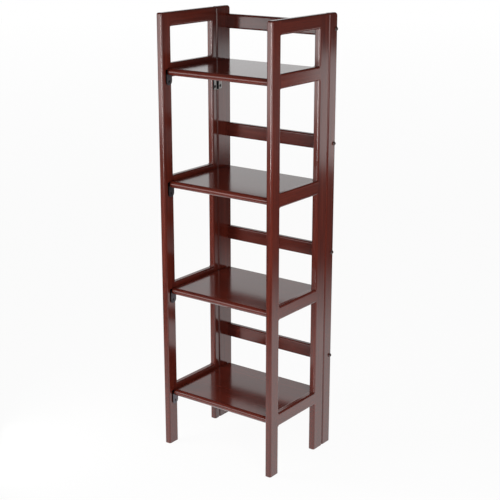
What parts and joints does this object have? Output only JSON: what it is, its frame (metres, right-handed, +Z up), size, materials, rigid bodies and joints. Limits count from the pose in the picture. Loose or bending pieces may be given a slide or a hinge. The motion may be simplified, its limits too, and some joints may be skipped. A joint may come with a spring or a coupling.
{
  "type": "folding shelf",
  "caption": "Narrow folding wooden shelf unit with hinged open side frames, a slatted back frame and shelves that flip up on rear pins so that it can fold flat.",
  "frame": {"origin": "middle of the footprint, on the floor", "axes": "+X to the right as seen from the front, +Y to the back, +Z up"},
  "size_m": [0.3704, 0.284, 1.18],
  "materials": {
    "walnut": "glossy lacquer",
    "dowel_wood": "bare",
    "hinge_steel": "zinc plated",
    "catch_steel": "zinc plated",
    "screw_steel": "zinc plated",
    "pin_steel": "bright",
    "bolt_black": "black oxide",
    "washer_nylon": "natural"
  },
  "bodies": {
    "frame": {"left_front_post": "walnut", "left_rear_post": "walnut", "left_top_rail": "walnut", "left_rail_1": "walnut", "left_rail_2": "walnut", "left_rail_3": "walnut", "left_rail_4": "walnut", "right_front_post": "walnut", "right_rear_post": "walnut", "right_top_rail": "walnut", "right_rail_1": "walnut", "right_rail_2": "walnut", "right_rail_3": "walnut", "right_rail_4": "walnut", "back_stile_left": "walnut", "back_stile_right": "walnut", "back_slat_1": "walnut", "back_slat_2": "walnut", "back_slat_3": "walnut", "back_slat_4": "walnut", "upper_left_hinge_frame_leaf": "hinge_steel", "upper_left_hinge_stile_leaf": "hinge_steel", "upper_left_hinge_pin": "pin_steel", "lower_left_hinge_frame_leaf": "hinge_steel", "lower_left_hinge_stile_leaf": "hinge_steel", "lower_left_hinge_pin": "pin_steel", "upper_right_hinge_frame_leaf": "hinge_steel", "upper_right_hinge_stile_leaf": "hinge_steel", "upper_right_hinge_pin": "pin_steel", "lower_right_hinge_frame_leaf": "hinge_steel", "lower_right_hinge_stile_leaf": "hinge_steel", "lower_right_hinge_pin": "pin_steel", "left_catch_plates": "catch_steel", "left_frame_dowels": "dowel_wood", "right_catch_plates": "catch_steel", "right_frame_dowels": "dowel_wood", "slat_bolts": "bolt_black", "slat_barrel_nuts": "pin_steel", "slat_dowels": "dowel_wood", "pivot_washers": "washer_nylon", "hinge_screws": "screw_steel", "catch_screws": "screw_steel"},
    "shelf_1": {"shelf_1_board": "walnut", "shelf_1_nosing": "walnut", "shelf_1_pivot_pins": "pin_steel", "shelf_1_catch_pins": "pin_steel"},
    "shelf_2": {"shelf_2_board": "walnut", "shelf_2_nosing": "walnut", "shelf_2_pivot_pins": "pin_steel", "shelf_2_catch_pins": "pin_steel"},
    "shelf_3": {"shelf_3_board": "walnut", "shelf_3_nosing": "walnut", "shelf_3_pivot_pins": "pin_steel", "shelf_3_catch_pins": "pin_steel"},
    "shelf_4": {"shelf_4_board": "walnut", "shelf_4_nosing": "walnut", "shelf_4_pivot_pins": "pin_steel", "shelf_4_catch_pins": "pin_steel"}
  },
  "joints": [
    {"name": "shelf_1_flip", "type": "hinge", "parent": "frame", "child": "shelf_1", "pos_m": [0, 0.112, 1.0275], "axis": [-1, 0, 0], "range_deg": [0, 90]},
    {"name": "shelf_2_flip", "type": "hinge", "parent": "frame", "child": "shelf_2", "pos_m": [0, 0.112, 0.7335], "axis": [-1, 0, 0], "range_deg": [0, 90]},
    {"name": "shelf_3_flip", "type": "hinge", "parent": "frame", "child": "shelf_3", "pos_m": [0, 0.112, 0.4395], "axis": [-1, 0, 0], "range_deg": [0, 90]},
    {"name": "shelf_4_flip", "type": "hinge", "parent": "frame", "child": "shelf_4", "pos_m": [0, 0.112, 0.1455], "axis": [-1, 0, 0], "range_deg": [0, 90]}
  ]
}
